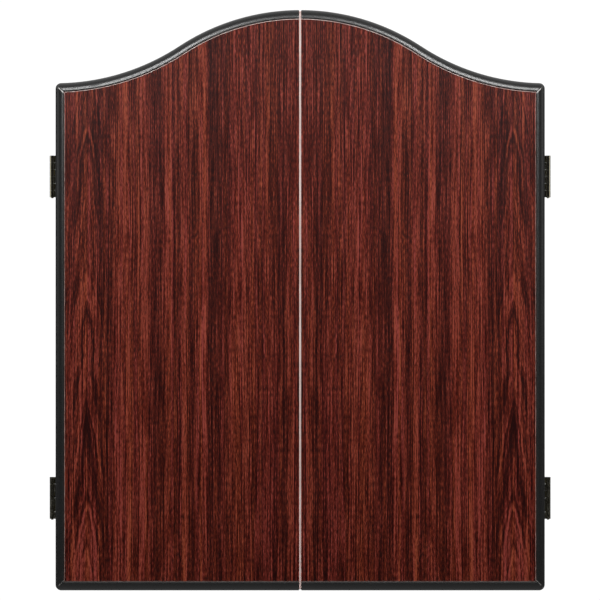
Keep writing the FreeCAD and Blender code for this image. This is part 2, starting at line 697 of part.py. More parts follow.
def magnet_sketch(body, low, high):
    """Boxes of the given heights, above and below the middle of every catch magnet."""
    sketch = new_sketch(body, "XZ_Plane", out=f"{CATCH_FRONT} - Size.magnet_deep")
    for level in catch_levels():
        for side in ("0 -", "0 +"):
            centre = f"({side} Size.magnet_mid)"
            left, right = f"{centre} - Size.magnet_half", f"{centre} + Size.magnet_half"
            draw_box(sketch, left, f"{level} + {low}", right, f"{level} + {high}")
    return sketch


def catch_magnets():
    body = new_body("catch_magnets")
    half = "Size.magnet_tall / 2"
    feature(body, "Pad", magnet_sketch(body, f"(0 - {half})", half), "Size.magnet_deep")


def catch_pole_plates():
    body = new_body("catch_pole_plates")
    near, far = "Size.magnet_tall / 2", "(Size.magnet_tall / 2 + Size.pole_thick)"
    for low, high in ((near, far), (f"(0 - {far})", f"(0 - {near})")):
        feature(body, "Pad", magnet_sketch(body, low, high), "Size.magnet_deep + Size.pole_show")


def door_bumpers():
    """Rubber buttons pressed into the front of the box."""
    body = new_body("door_bumpers")
    sketch = new_sketch(body, "XZ_Plane", out="Size.box_deep - Size.bumper_deep")
    low, high = bumper_places()
    draw_circles(sketch, low + high, "Size.bumper_radius")
    button = feature(body, "Pad", sketch, "Size.bumper_deep + Size.bumper_show")
    front = "0 - Size.box_deep - Size.bumper_show"
    soften(body, button, "Fillet", "Size.bumper_round", lambda edge: at_value(edge.CenterOfMass.y, front))


# Hinges ---------------------------------------------------------------------------------------

def hinge_screws():
    """Centres (x, z) of the screws through the left hinge leaves."""
    x = f"(Size.hinge_screw_in - {HALF})"
    half = "Size.hinge_screw_pitch / 2"
    return [(x, f"({middle} {sign} {half})") for middle in HINGES.values() for sign in "+-"]


def hinge_leaf(label, middle, first_knuckle, side, bore):
    """Leaf with three knuckles. side is + for the leaf on the box and - for the leaf on the door."""
    body = new_body(label)
    low = f"({middle} - Size.hinge_long / 2)"
    axis = f"(0 - {AXIS_X})"
    near, far = "(Size.door_gap / 2)", "(Size.door_gap / 2 + Size.leaf_thick)"
    start, end = f"(Size.leaf_start - {HALF})", f"(Size.leaf_reach - {HALF})"
    near_y, far_y = (f"(0 - {AXIS_DEPTH} {side} {offset})" for offset in (near, far))
    plate = new_sketch(body, "XY_Plane", out=low)
    draw_box(plate, start, near_y, end, far_y)
    feature(body, "Pad", plate, "Size.hinge_long")
    pitch = f"((Size.hinge_long + Size.knuckle_gap) / {KNUCKLES})"
    curl = new_sketch(body, "XY_Plane", out=f"{low} + {pitch} * {1 - first_knuckle}")
    radius = "Size.barrel_radius"
    turn = "left" if side == "+" else "right"
    tab = f"{start} + Size.leaf_start"
    round_end = f"0 - {AXIS_DEPTH} {'-' if side == '+' else '+'} {radius}"
    draw_loop(curl, [
        (tab, far_y),
        (f"{axis} + sqrt({radius} ^ 2 - {far} ^ 2)", far_y),
        (f"{axis} - {radius}", f"0 - {AXIS_DEPTH}", turn, radius),
        (axis, round_end, turn, radius),
        (f"{axis} + sqrt({radius} ^ 2 - {near} ^ 2)", near_y, turn, radius),
        (tab, near_y),
    ])
    draw_circles(curl, [(axis, f"0 - {AXIS_DEPTH}")], bore)
    knuckle = feature(body, "Pad", curl, f"{pitch} - Size.knuckle_gap")
    row = body.newObject("PartDesign::LinearPattern", "LinearPattern")
    row.Originals = [knuckle]
    row.Direction = (origin_of(body, "Z_Axis"), [""])
    row.setExpression("Length", f"{pitch} * {KNUCKLES - 2}")
    row.Occurrences = KNUCKLES // 2
    body.Tip = row
    screws = [place for place in hinge_screws() if middle in place[1]]
    outer = "Size.box_deep" if side == "+" else DOOR_BACK
    forwards = side == "-"
    drill(body, "XZ_Plane", outer, screws, "Size.small_shank", "Size.leaf_thick", forwards)
    countersink(body, outer, screws, "Size.small_head", "Size.small_shank", forwards)


def hinge_pin(label, middle):
    body = new_body(label)
    sketch = new_sketch(body, "XY_Plane", out=f"{middle} - Size.hinge_long / 2 - Size.pin_show")
    draw_circles(sketch, [(f"0 - {AXIS_X}", f"0 - {AXIS_DEPTH}")], "Size.pin_radius")
    rod = feature(body, "Pad", sketch, "Size.hinge_long + Size.pin_show")
    soften(body, rod, "Chamfer", "Size.pin_radius / 4", lambda edge: edge.Closed)


# Doors ----------------------------------------------------------------------------------------

def moulding_section(body, centre_x, centre_z, turn, centre_inside, inward, whole):
    """Channel section of the moulding, round in front, in a plane through an axis parallel to Y.

    centre_inside is the axis's distance inside the door's outline, and inward is + where the
    outline lies further from the axis as it moves inwards. A section that isn't whole ends at
    the axis of a round corner.
    """
    sketch = new_sketch(body, "YZ_Plane", up=centre_z, out=centre_x, turn=turn)
    outward = "left" if inward == "+" else "right"

    def point(inside, from_front):
        return f"{from_front} - {DOOR_FRONT}", f"{centre_inside} {inward} {inside}"

    thick, lip, web = "Size.door_thick", "Size.lip_thick", "Size.web_thick"
    bend, back = MOULDING_ROUND, "Size.moulding_back"
    wide = "Size.moulding_wide" if whole else "Size.corner_radius"
    if whole:
        nose = [point(wide, "Size.lip_round"), (*point(bend, "0"), outward, "Size.lip_round")]
    else:
        nose = [point(wide, f"({bend} - sqrt({bend} ^ 2 - ({bend} - {wide}) ^ 2))")]
    draw_loop(sketch, nose + [
        (*point("0", bend), outward, bend),
        point("0", f"({thick} - {back})"),
        (*point(back, thick), outward, back),
        point(wide, thick),
        point(wide, f"({thick} - {lip})"),
        point(web, f"({thick} - {lip})"),
        point(web, lip),
        point(wide, lip),
    ])
    return sketch


def sweep_round(body, section, angle):
    swept = body.newObject("PartDesign::Revolution", "Revolution")
    swept.Profile = section
    swept.ReferenceAxis = (section, ["H_Axis"])
    swept.setExpression("Angle", angle)
    return swept


def cut_through_door(body, corners):
    """Cut away what lies inside the corners, over the whole thickness of the door."""
    deep = "Size.door_thick + Size.cut_past * 2"
    return cut_front(body, corners, f"{DOOR_BACK} - Size.cut_past", deep, True)


def cut_mitre(body, centre_z, toward, side):
    """Cut away a triangle beside the mitre line, which starts at a corner's centre.

    toward is + where the mitre runs upwards, and side says on which side of it the triangle lies.
    """
    reach = "(Size.moulding_wide * 2)"
    far = (f"{CORNER_X} + {reach}", f"{centre_z} {toward} {reach}")
    beside = (f"{CORNER_X} + {reach}", centre_z)
    if side == "above":
        beside = (CORNER_X, f"{centre_z} {toward} {reach}")
    cut_through_door(body, [(CORNER_X, centre_z), far, beside])


def side_moulding():
    body = new_body("left_door_side_moulding")
    inside = "Size.corner_radius"
    run = moulding_section(body, CORNER_X, CORNER_LOW, "270 deg", inside, "-", True)
    feature(body, "Pad", run, f"{CORNER_HIGH} - {CORNER_LOW}")
    cut_mitre(body, CORNER_LOW, "+", "beside")
    cut_mitre(body, CORNER_HIGH, "-", "beside")
    low = moulding_section(body, CORNER_X, CORNER_LOW, "225 deg", inside, "-", False)
    sweep_round(body, low, "45 deg")
    high = moulding_section(body, CORNER_X, CORNER_HIGH, "270 deg", inside, "-", False)
    sweep_round(body, high, "45 deg")


def round_seam_end(body, base):
    """Soften the outer edge of a moulding's end beside the seam."""
    def wanted(edge):
        bounds = edge.BoundBox
        at_end = at_value(edge.CenterOfMass.x, DOOR_EDGE) and bounds.XLength < 1e-6
        outline = at_value(bounds.ZMax, crown_height("0", DOOR_EDGE)) or at_value(bounds.ZMin, BOTTOM)
        return at_end and outline
    return soften(body, base, "Fillet", "Size.band_set", wanted)


def bottom_moulding():
    body = new_body("left_door_bottom_moulding")
    inside = "Size.corner_radius"
    run = moulding_section(body, CORNER_X, CORNER_LOW, "180 deg", inside, "-", True)
    feature(body, "Pad", run, f"{DOOR_EDGE} - {CORNER_X}", True)
    cut_mitre(body, CORNER_LOW, "+", "above")
    low = moulding_section(body, CORNER_X, CORNER_LOW, "180 deg", inside, "-", False)
    round_seam_end(body, sweep_round(body, low, "45 deg"))


def top_moulding():
    """Moulding that follows the concave and convex arcs of the arch."""
    body = new_body("left_door_top_moulding")
    dip = moulding_section(body, f"0 - {HALF}", DIP_Z, f"180 deg - {LEAN}", DIP_RADIUS, "+", True)
    sweep_round(body, dip, f"{LEAN} - {CORNER_LEAN}")
    crown = moulding_section(body, "0", CROWN_Z, f"0 deg - {LEAN}", "Size.crown_radius", "-", True)
    sweep_round(body, crown, LEAN)
    cut_mitre(body, CORNER_HIGH, "-", "above")
    inside = "Size.corner_radius"
    high = moulding_section(body, CORNER_X, CORNER_HIGH, "315 deg", inside, "-", False)
    sweep_round(body, high, f"45 deg - {CORNER_LEAN}")
    above, past = f"{CROWN_Z} + Size.crown_radius + Size.cut_past", "Size.cut_past"
    beyond = [(DOOR_EDGE, CROWN_Z), (past, CROWN_Z), (past, above), (DOOR_EDGE, above)]
    round_seam_end(body, cut_through_door(body, beyond))


def rack_screws():
    middle = "(Size.rack_wide / 2 - Size.rack_out)"
    up = "(Size.rack_low + Size.rack_tall / 2)"
    return [(f"{middle} - Size.rack_pitch", up), (f"{middle} + Size.rack_pitch", up)]


def strike_screws():
    x = "(0 - Size.strike_near - Size.strike_wide / 2)"
    return [(x, level) for level in catch_levels()]


def door_core():
    body = new_body("left_door_core")
    outline = half_outline("Size.web_thick", DOOR_EDGE, True)
    pad_front(body, outline, CORE_BACK, f"{CORE_FRONT} - {CORE_BACK}")
    small = "Size.small_shank"
    drill(body, "XZ_Plane", DOOR_BACK, hinge_screws(), small, "Size.small_long", True)
    drill(body, "XZ_Plane", STRIKE_FACE, strike_screws(), small, "Size.small_long", True)
    rack_face = f"{INNER_FACE} - Size.rack_back"
    drill(body, "XZ_Plane", rack_face, rack_screws(), "Size.pan_shank", "Size.pan_long", True)


def face_sheet():
    """Printed sheet on the front of the core, bevelled where it meets the moulding."""
    body = new_body("left_door_face_sheet")
    inside = "(Size.moulding_wide + Size.sheet_fit)"
    sheet_pad = pad_front(body, half_outline(inside, DOOR_EDGE, False), CORE_FRONT, "Size.face_thick")

    def wanted(edge):
        centre = edge.CenterOfMass
        level = edge.BoundBox.YLength < 1e-6
        on_front = at_value(centre.y, f"0 - {CORE_FRONT} - Size.face_thick")
        return level and on_front and not at_value(centre.x, DOOR_EDGE)
    soften(body, sheet_pad, "Chamfer", "Size.face_bevel", wanted)


def inner_sheet():
    body = new_body("left_door_inner_sheet")
    inside = "(Size.moulding_wide + Size.sheet_fit)"
    pad_front(body, half_outline(inside, DOOR_EDGE, False), INNER_FACE, "Size.inner_thick")
    small, thick = "Size.small_shank", "Size.inner_thick"
    drill(body, "XZ_Plane", INNER_FACE, strike_screws(), small, thick, True)
    drill(body, "XZ_Plane", INNER_FACE, rack_screws(), "Size.pan_shank", thick, True)


def edge_band():
    """White band on the meeting edge, over the core, the sheets and the ends of the mouldings."""
    body = new_body("left_door_edge_band")
    sketch = new_sketch(body, "YZ_Plane", out=DOOR_EDGE)
    back, front = f"0 - {DOOR_BACK}", f"(Size.band_set - {DOOR_FRONT})"
    low, high = f"({BOTTOM} + Size.band_set)", f"({crown_height('Size.band_set')})"
    cut = "Size.band_set"
    draw_loop(sketch, [(back, low), (f"{front} + {cut}", low), (front, f"{low} + {cut}"),
                       (front, f"{high} - {cut}"), (f"{front} + {cut}", high), (back, high)])
    feature(body, "Pad", sketch, "Size.band_thick")


def scoreboard():
    body = new_body("left_door_scoreboard")
    near, far = "(0 - Size.board_near)", "(0 - Size.board_far)"
    low, high, bend = "Size.board_low", "Size.board_high", "Size.board_corner"
    corners = [
        (f"{near} - {bend}", low), (near, f"{low} + {bend}", "left", bend),
        (near, f"{high} - {bend}"), (f"{near} - {bend}", high, "left", bend),
        (f"{far} + {bend}", high), (far, f"{high} - {bend}", "left", bend),
        (far, f"{low} + {bend}"), (f"{far} + {bend}", low, "left", bend),
    ]
    pad_front(body, corners, f"{INNER_FACE} - Size.board_thick", "Size.board_thick")


def dart_rack():
    """Channel with holes for three darts, their points in the lower shelf."""
    body = new_body("left_door_dart_rack")
    sketch = new_sketch(body, "YZ_Plane", out="0 - Size.rack_out")
    back, front = f"(0 - {INNER_FACE})", f"(Size.rack_deep - {INNER_FACE})"
    web, low = f"({back} + Size.rack_back)", "Size.rack_low"
    high = "(Size.rack_low + Size.rack_tall)"
    shelf_low, shelf_high = f"({low} + Size.rack_wall)", f"({high} - Size.rack_wall)"
    draw_loop(sketch, [(back, low), (front, low), (front, shelf_low), (web, shelf_low),
                       (web, shelf_high), (front, shelf_high), (front, high), (back, high)])
    channel = feature(body, "Pad", sketch, "Size.rack_wide")

    def wanted(edge):
        upright = edge.BoundBox.ZLength > 1 and edge.BoundBox.XLength < 1e-6
        return upright and at_value(edge.CenterOfMass.y, front)
    soften(body, channel, "Fillet", "Size.rack_round", wanted)
    middle = "(Size.rack_wide / 2 - Size.rack_out)"
    depth = f"({front} - Size.rack_row)"
    row = [(f"{middle} + Size.rack_pitch * {at}", depth) for at in (-1, 0, 1)]
    drill(body, "XY_Plane", high, row, "Size.dart_hole", "Size.rack_wall")
    drill(body, "XY_Plane", shelf_low, row, "Size.tip_hole", "Size.rack_wall")
    rack_face = f"{INNER_FACE} - Size.rack_back"
    drill(body, "XZ_Plane", rack_face, rack_screws(), "Size.pan_shank", "Size.rack_back", True)


def strike_plate(label, level):
    body = new_body(label)
    near, far = "(0 - Size.strike_near)", "(0 - Size.strike_near - Size.strike_wide)"
    half = "Size.strike_tall / 2"
    corners = [(far, f"{level} - {half}"), (near, f"{level} - {half}"), (near, f"{level} + {half}"),
               (far, f"{level} + {half}")]
    pad_front(body, corners, STRIKE_FACE, "Size.strike_thick")
    screws = [place for place in strike_screws() if place[1] == level]
    drill(body, "XZ_Plane", STRIKE_FACE, screws, "Size.small_shank", "Size.strike_thick", True)
    countersink(body, STRIKE_FACE, screws, "Size.small_head", "Size.small_shank", True)


def recess_door_hinges():
    """Recesses and screw holes for the door leaves, in the back of the side moulding."""
    body = pieces["left_door_side_moulding"]
    for middle in HINGES.values():
        high = f"({middle} + Size.hinge_long / 2 + Size.leaf_fit)"
        low = f"({middle} - Size.hinge_long / 2 - Size.leaf_fit)"
        outer = f"(0 - {HALF} - Size.cut_past)"
        end = f"(Size.leaf_reach + Size.leaf_fit - {HALF})"
        recess = [(outer, low), (end, low), (end, high), (outer, high)]
        cut_front(body, recess, DOOR_BACK, "Size.leaf_thick", True)
    drill(body, "XZ_Plane", DOOR_BACK, hinge_screws(), "Size.small_shank", "Size.lip_thick", True)


# Assembly -------------------------------------------------------------------------------------

def to_the_right(label):
    """Mirror a left-hand piece into its right-hand twin."""
    name = label.replace("left", "right")
    twin = doc.addObject("Part::Mirroring", name)
    twin.Label = name
    twin.Source = pieces[label]
    twin.Normal = (1, 0, 0)
    twin.Base = (0, 0, 0)
    pieces[name] = twin


def build_box():
    back_panel()
    side_panel()
    bottom_panel()
    arch_top_panel()
    carcass_dowels()
    board_bracket()
    catch_block("bottom_catch_housing", BOX_FLOOR, "+")
    catch_block("top_catch_housing", CATCH_CEILING, "-")
    catch_magnets()
    catch_pole_plates()
    door_bumpers()
    for name, middle in HINGES.items():
        hinge_leaf(f"hinge_box_leaf_{name}_left", middle, 0, "+", "Size.pin_radius")
        hinge_pin(f"hinge_pin_{name}_left", middle)


def build_left_door():
    door_core()
    face_sheet()
    inner_sheet()
    edge_band()
    side_moulding()
    recess_door_hinges()
    bottom_moulding()
    top_moulding()
    scoreboard()
    dart_rack()
    for name, level in zip(("bottom", "top"), catch_levels()):
        strike_plate(f"left_door_strike_{name}", level)
    for name, middle in HINGES.items():
        label = f"left_door_hinge_leaf_{name}"
        hinge_leaf(label, middle, 1, "-", "Size.pin_radius + Size.pin_play")


def add_fasteners():
    small = countersunk_screw("small_screw", "Size.small_head", "Size.small_shank", "Size.small_long")
    large = countersunk_screw("back_screw", "Size.back_head", "Size.back_shank", "Size.back_long")
    pan = pan_screw("pan_screw")
    doc.recompute()
    rear, forward, up, down = (0, 1, 0), (0, -1, 0), (0, 0, 1), (0, 0, -1)
    in_box = [(x, "Size.box_deep", z) for x, z in hinge_screws()]
    in_door = [(x, DOOR_BACK, z) for x, z in hinge_screws()]
    strikes = [(x, STRIKE_FACE, z) for x, z in strike_screws()]
    rack = [(x, f"{INNER_FACE} - Size.rack_back", z) for x, z in rack_screws()]
    bracket = [(x, "Size.back_thick + Size.bracket_thick", z) for x, z in bracket_holes()]
    back = [(x, "0", z) for x, z in all_back_screws()]
    low = [(x, f"0 - {y}", f"{BOX_FLOOR} + Size.catch_ear") for x, y in catch_screws()]
    high = [(x, f"0 - {y}", f"{CATCH_CEILING} - Size.catch_ear") for x, y in catch_screws()]
    fastener_group("hinge_box_screws_left", small, in_box, forward)
    fastener_group("left_door_hinge_screws", small, in_door, rear)
    fastener_group("left_door_strike_screws", small, strikes, rear)
    fastener_group("left_door_rack_screws", pan, rack, rear)
    fastener_group("board_bracket_screws", pan, bracket, forward)
    fastener_group("back_panel_screws", large, back, rear)
    fastener_group("bottom_catch_screws", pan, low, up)
    fastener_group("top_catch_screws", pan, high, down)


def check_and_write():
    """Stop on any failed object, idle cut or bad shape, then write one file for each piece."""
    for item in doc.Objects:
        if "Invalid" in item.State or "Error" in item.State:
            raise RuntimeError(f"{item.Name} ({item.Label}) failed: {item.State}")
        if item.TypeId == "PartDesign::Pocket":
            removed = item.BaseFeature.Shape.Volume - item.Shape.Volume
            if removed < 0.01:
                raise RuntimeError(f"{item.Name} of {item.getParentGeoFeatureGroup().Label} cuts nothing")
    os.makedirs("parts", exist_ok=True)
    for label, piece in pieces.items():
        shape = piece.Shape
        if shape.isNull() or not shape.isValid() or shape.Volume <= 0:
            raise RuntimeError(f"{label} has no valid shape")
        shape.exportStep(f"parts/{label}.step")


build_box()
build_left_door()
add_fasteners()
doc.recompute()
for left_piece in [label for label in pieces if "left" in label]:
    to_the_right(left_piece)
doc.recompute()
check_and_write()
print(len(pieces), "pieces written")
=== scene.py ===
import json
import math

import bmesh
import bpy
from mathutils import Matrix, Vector


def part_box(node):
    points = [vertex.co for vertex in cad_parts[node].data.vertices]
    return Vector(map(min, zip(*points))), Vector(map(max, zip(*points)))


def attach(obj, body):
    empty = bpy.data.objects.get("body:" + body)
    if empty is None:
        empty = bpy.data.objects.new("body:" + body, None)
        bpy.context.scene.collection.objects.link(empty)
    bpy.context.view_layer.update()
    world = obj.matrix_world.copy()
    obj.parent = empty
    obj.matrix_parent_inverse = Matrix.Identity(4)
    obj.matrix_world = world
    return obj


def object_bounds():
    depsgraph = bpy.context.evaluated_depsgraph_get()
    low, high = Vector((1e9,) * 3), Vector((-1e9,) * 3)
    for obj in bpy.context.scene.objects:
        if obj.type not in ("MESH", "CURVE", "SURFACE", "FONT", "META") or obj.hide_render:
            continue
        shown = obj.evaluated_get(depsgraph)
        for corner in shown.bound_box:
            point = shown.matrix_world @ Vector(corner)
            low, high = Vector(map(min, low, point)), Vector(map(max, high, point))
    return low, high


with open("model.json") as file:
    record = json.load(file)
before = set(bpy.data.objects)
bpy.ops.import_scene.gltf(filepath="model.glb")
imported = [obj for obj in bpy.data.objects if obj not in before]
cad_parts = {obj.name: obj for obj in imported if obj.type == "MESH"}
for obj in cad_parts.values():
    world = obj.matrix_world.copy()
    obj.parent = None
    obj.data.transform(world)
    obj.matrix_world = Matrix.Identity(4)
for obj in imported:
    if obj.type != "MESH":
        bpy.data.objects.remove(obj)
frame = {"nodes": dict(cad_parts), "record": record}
nodes = frame["nodes"]
cad_low, cad_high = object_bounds()

# Lengths are in metres, and those whose comment says mm are multiplied by MM where they are used.
MM = 0.001
PER_METRE = 1000  # mm in a metre, for noises whose grain size is given in mm


# Camera ---------------------------------------------------------------------------------------

CAMERA_AWAY = 5.0  # in front of the doors
CAMERA_ASIDE = -0.00016  # the seam is at zero, so the camera stands a little to its left
VIEW_WIDE = 0.6306  # seen across at the front of the doors
VIEW_CENTRE_Z = 0.0157  # a little above the bull's-eye, halfway up the arched doors
SENSOR_WIDE = 36.0


def add_camera():
    data = bpy.data.cameras.new("camera")
    data.sensor_width = SENSOR_WIDE
    data.lens = SENSOR_WIDE * CAMERA_AWAY / VIEW_WIDE
    data.clip_end = 60.0
    camera = bpy.data.objects.new("camera", data)
    camera.location = (CAMERA_ASIDE, cad_low.y - CAMERA_AWAY, VIEW_CENTRE_Z)
    camera.rotation_euler = (math.pi / 2, 0.0, 0.0)
    bpy.context.scene.collection.objects.link(camera)
    bpy.context.scene.camera = camera


# Material graphs ------------------------------------------------------------------------------

def colour(red, green, blue):
    """Linear colour of an sRGB colour with parts from 0 to 255."""
    parts = []
    for part in (red, green, blue):
        share = part / 255
        parts.append(share / 12.92 if share <= 0.04045 else ((share + 0.055) / 1.055) ** 2.4)
    return (*parts, 1.0)


class Graph:
    """Short calls that add nodes to one material. Sockets and plain values may be mixed."""

    def __init__(self, name, **sockets):
        self.material = bpy.data.materials.new(name)
        self.material.use_nodes = True
        self.tree = self.material.node_tree
        self.shader = next(n for n in self.tree.nodes if n.type == "BSDF_PRINCIPLED")
        for socket, value in sockets.items():
            self.feed(self.shader.inputs[socket.replace("_", " ")], value)

    def feed(self, socket, value):
        if isinstance(value, bpy.types.NodeSocket):
            self.tree.links.new(value, socket)
        else:
            socket.default_value = value

    def add(self, kind, values=(), **settings):
        node = self.tree.nodes.new(f"ShaderNode{kind}")
        for name, value in settings.items():
            setattr(node, name, value)
        for socket, value in zip(node.inputs, values):
            if value is not None:
                self.feed(socket, value)
        return node

    def maths(self, operation, *values):
        return self.add("Math", values, operation=operation).outputs[0]

    def place(self):
        """Coordinates in the frame of the CAD, in metres, as x, y and z sockets."""
        return self.add("SeparateXYZ", [self.add("TexCoord").outputs["Object"]]).outputs

    def facing(self):
        """The piece's own outward direction, as x, y and z sockets."""
        return self.add("SeparateXYZ", [self.add("TexCoord").outputs["Normal"]]).outputs

    def vector(self, x, y, z):
        return self.add("CombineXYZ", [x, y, z]).outputs[0]

    def scaled(self, x, y, z):
        """The piece's own coordinates, multiplied along each axis."""
        mapping = self.add("Mapping", [self.add("TexCoord").outputs["Object"]])
        mapping.inputs["Scale"].default_value = (x, y, z)
        return mapping.outputs[0]

    def noise(self, vector, detail=2.0, roughness=0.5, distortion=0.0, scale=1.0):
        node = self.add("TexNoise")
        self.feed(node.inputs["Vector"], vector)
        node.inputs["Scale"].default_value = scale
        node.inputs["Detail"].default_value = detail
        node.inputs["Roughness"].default_value = roughness
        node.inputs["Distortion"].default_value = distortion
        return node.outputs[0]

    def cells(self, vector, scale, smooth):
        """Distance to the middle of the nearest cell, rounded where cells meet."""
        node = self.add("TexVoronoi", feature="SMOOTH_F1")
        self.feed(node.inputs["Vector"], vector)
        node.inputs["Scale"].default_value = scale
        node.inputs["Smoothness"].default_value = smooth
        return node.outputs["Distance"]

    def spread(self, value, low, high, new_low=0.0, new_high=1.0, smooth=False):
        """Map a range of values to another range, clamped at both ends."""
        node = self.add("MapRange", [value, low, high, new_low, new_high])
        node.interpolation_type = "SMOOTHSTEP" if smooth else "LINEAR"
        return node.outputs[0]

    def ramp(self, value, stops):
        """Colour ramp of (position, colour) stops."""
        node = self.add("ValToRGB", [value])
        elements = node.color_ramp.elements
        while len(elements) < len(stops):
            elements.new(1.0)
        for element, (position, tint) in zip(elements, stops):
            element.position = position
            element.color = tint
        return node.outputs[0]

    def mix(self, share, first, second, blend="MIX"):
        """Blend two colours. A Mix node keeps its colour sockets after those for numbers and vectors."""
        node = self.add("Mix", data_type="RGBA", blend_type=blend)
        self.feed(node.inputs[0], share)
        self.feed(node.inputs[6], first)
        self.feed(node.inputs[7], second)
        return node.outputs[2]

    def bump(self, height, depth, strength=1.0):
        """Feed the shader's normal from a height of 0 to 1, depth metres deep."""
        node = self.add("Bump")
        node.inputs["Strength"].default_value = strength
        node.inputs["Distance"].default_value = depth
        self.feed(node.inputs["Height"], height)
        self.feed(self.shader.inputs["Normal"], node.outputs[0])

    def paint(self, socket, value):
        self.feed(self.shader.inputs[socket], value)


# Rosewood print -------------------------------------------------------------------------------

# Broad streaks across a door: middle in mm from the seam, half width in mm, lighter or darker by.
STREAKS = (
    (22, 10, -0.16), (34, 4, 0.16), (65, 9, 0.17), (86, 15, -0.32), (103, 6, 0.44), (115, 5, -0.28),
    (122, 4, 0.40), (139, 5, 0.32), (150, 8, -0.28), (165, 6, 0.36), (188, 13, 0.28), (206, 12, -0.16),
)
STREAK_CORE = 0.4  # share of a streak's half width that is at full strength
# Flames: middle in mm from the seam, lean of their flanks, half width in mm, contrast.
FLAMES = ((224.5, 0.13, 26.0, 1.9), (68.0, 0.06, 20.0, 0.7))
FLAME_CORE = 0.35  # share of a flame's half width that is at full contrast
FLAME_TIP = 1.5  # mm, how blunt the tip of an arch is
FLAME_RIPPLE = 7  # mm that an arch wanders to either side
LINE_WANDER = 3  # mm that the straight grain wanders to either side
PRINT_LEVEL = 0.485  # where the middle of the grain lies on the scale of tones
PRINT_TONES = (  # level and sRGB colour, from the darkest grain to the palest
    (0.00, (31, 1, 0)),
    (0.25, (55, 9, 2)),
    (0.50, (81, 27, 14)),
    (0.75, (108, 42, 27)),
    (1.00, (142, 68, 50)),
)
PURPLE_TINT = (1.02, 0.82, 1.10, 1)
ORANGE_TINT = (1.06, 0.97, 0.78, 1)


def rosewood():
    """Printed rosewood foil, mirrored about the seam, with a pale cut edge round it."""
    g = Graph("rosewood_print", Specular_IOR_Level=0.20)
    x, y, z = g.place()
    across = g.maths("ABSOLUTE", x)
    slow = g.noise(g.vector(g.maths("MULTIPLY", across, 9), 0.0, g.maths("MULTIPLY", z, 3.2)), 2)
    line = g.maths("ADD", across, g.spread(slow, 0, 1, -LINE_WANDER * MM, LINE_WANDER * MM))

    def strands(lines, wide, tall, seed, detail=1):
        """Streaks about 'wide' mm across and 'tall' mm long that follow the given lines."""
        sideways = g.maths("MULTIPLY", lines, PER_METRE / wide)
        upward = g.maths("MULTIPLY", z, PER_METRE / tall)
        return g.noise(g.vector(sideways, seed, upward), detail)

    bands = 0.50
    for middle, half_width, lighter in STREAKS:
        apart = g.maths("ABSOLUTE", g.maths("SUBTRACT", line, middle * MM))
        core = STREAK_CORE * half_width * MM
        bands = g.maths("ADD", g.spread(apart, core, half_width * MM, lighter, 0.0, True), bands)

    tongues = g.spread(strands(line, 6, 190, 1.7, 2), 0.50, 0.56)
    threads = strands(line, 1.3, 900, 5.1)
    fine = strands(line, 0.9, 50, 15.3)
    dashes = strands(line, 0.75, 5, 23.9)
    dark_lines = g.spread(strands(line, 1.9, 1500, 61.0), 0.58, 0.64)
    pale_lines = g.spread(strands(line, 1.7, 1500, 71.0), 0.60, 0.66)
    layers = [
        (bands, 0.56), (tongues, 0.08), (threads, 1.0), (fine, 1.8), (dashes, 1.6),
        (dark_lines, -0.20), (pale_lines, 0.20),
    ]

    # A flame is a nest of arches: its lines close in on the middle as they rise.
    for middle, lean, reach, contrast in FLAMES:
        apart = g.maths("ABSOLUTE", g.maths("SUBTRACT", line, middle * MM))
        squared = g.maths("MULTIPLY_ADD", apart, apart, (FLAME_TIP * MM) ** 2)
        ripple = g.noise(g.vector(g.maths("MULTIPLY", across, 35), middle, g.maths("MULTIPLY", z, 14)), 2)
        bend = g.spread(ripple, 0, 1, -FLAME_RIPPLE * MM, FLAME_RIPPLE * MM)
        wavy = g.maths("ADD", g.maths("SQRT", squared), bend)
        arches = g.maths("MULTIPLY_ADD", z, lean, wavy)
        near = g.spread(apart, FLAME_CORE * reach * MM, reach * MM, contrast, 0.0, True)
        layers.append((strands(arches, 2.2, 150, middle), near))

    # Each layer varies about 0.5, and adds what it differs from that, times its weight.
    tone = PRINT_LEVEL
    for layer, weight in layers:
        tone = g.maths("MULTIPLY_ADD", g.maths("SUBTRACT", layer, 0.5), weight, tone)
    wood = g.ramp(tone, [(level, colour(*shade)) for level, shade in PRINT_TONES])

    hue = g.spread(strands(line, 4, 500, 31.0), 0.4, 0.6)
    tinted = g.mix(1.0, wood, g.mix(hue, PURPLE_TINT, ORANGE_TINT), "MULTIPLY")
    pores = g.spread(strands(line, 0.8, 8, 44.0), 0.57, 0.68)
    # Pores are printed more faintly on the pale tongues.
    shown = g.maths("MULTIPLY", pores, g.spread(tongues, 0.0, 1.0, 0.75, 0.3))
    printed = g.mix(shown, tinted, colour(26, 9, 6))

    # The face looks along y, and the cut edge round it is bevelled away from y.
    facing = g.facing()
    cut = g.spread(g.maths("ABSOLUTE", facing[1]), 0.80, 0.92, 1.0, 0.0)
    edge_noise = g.noise(g.scaled(260, 260, 260), 2)
    # Painted light: the same cut board is painted paler on the level edges at the top and bottom than on
    # the upright edges at the sides.
    upright = g.ramp(edge_noise, [(0.3, colour(150, 108, 100)), (0.7, colour(212, 178, 170))])
    level = g.ramp(edge_noise, [(0.3, colour(214, 176, 168)), (0.7, colour(255, 240, 234))])
    edge = g.mix(g.spread(g.maths("ABSOLUTE", facing[2]), 0.15, 0.5), upright, level)
    g.paint("Base Color", g.mix(cut, printed, edge))
    g.paint("Roughness", g.spread(fine, 0.3, 0.7, 0.31, 0.40))
    g.bump(g.maths("SUBTRACT", fine, shown), 0.03 * MM, 0.5)
    return g.material


# Other materials ------------------------------------------------------------------------------

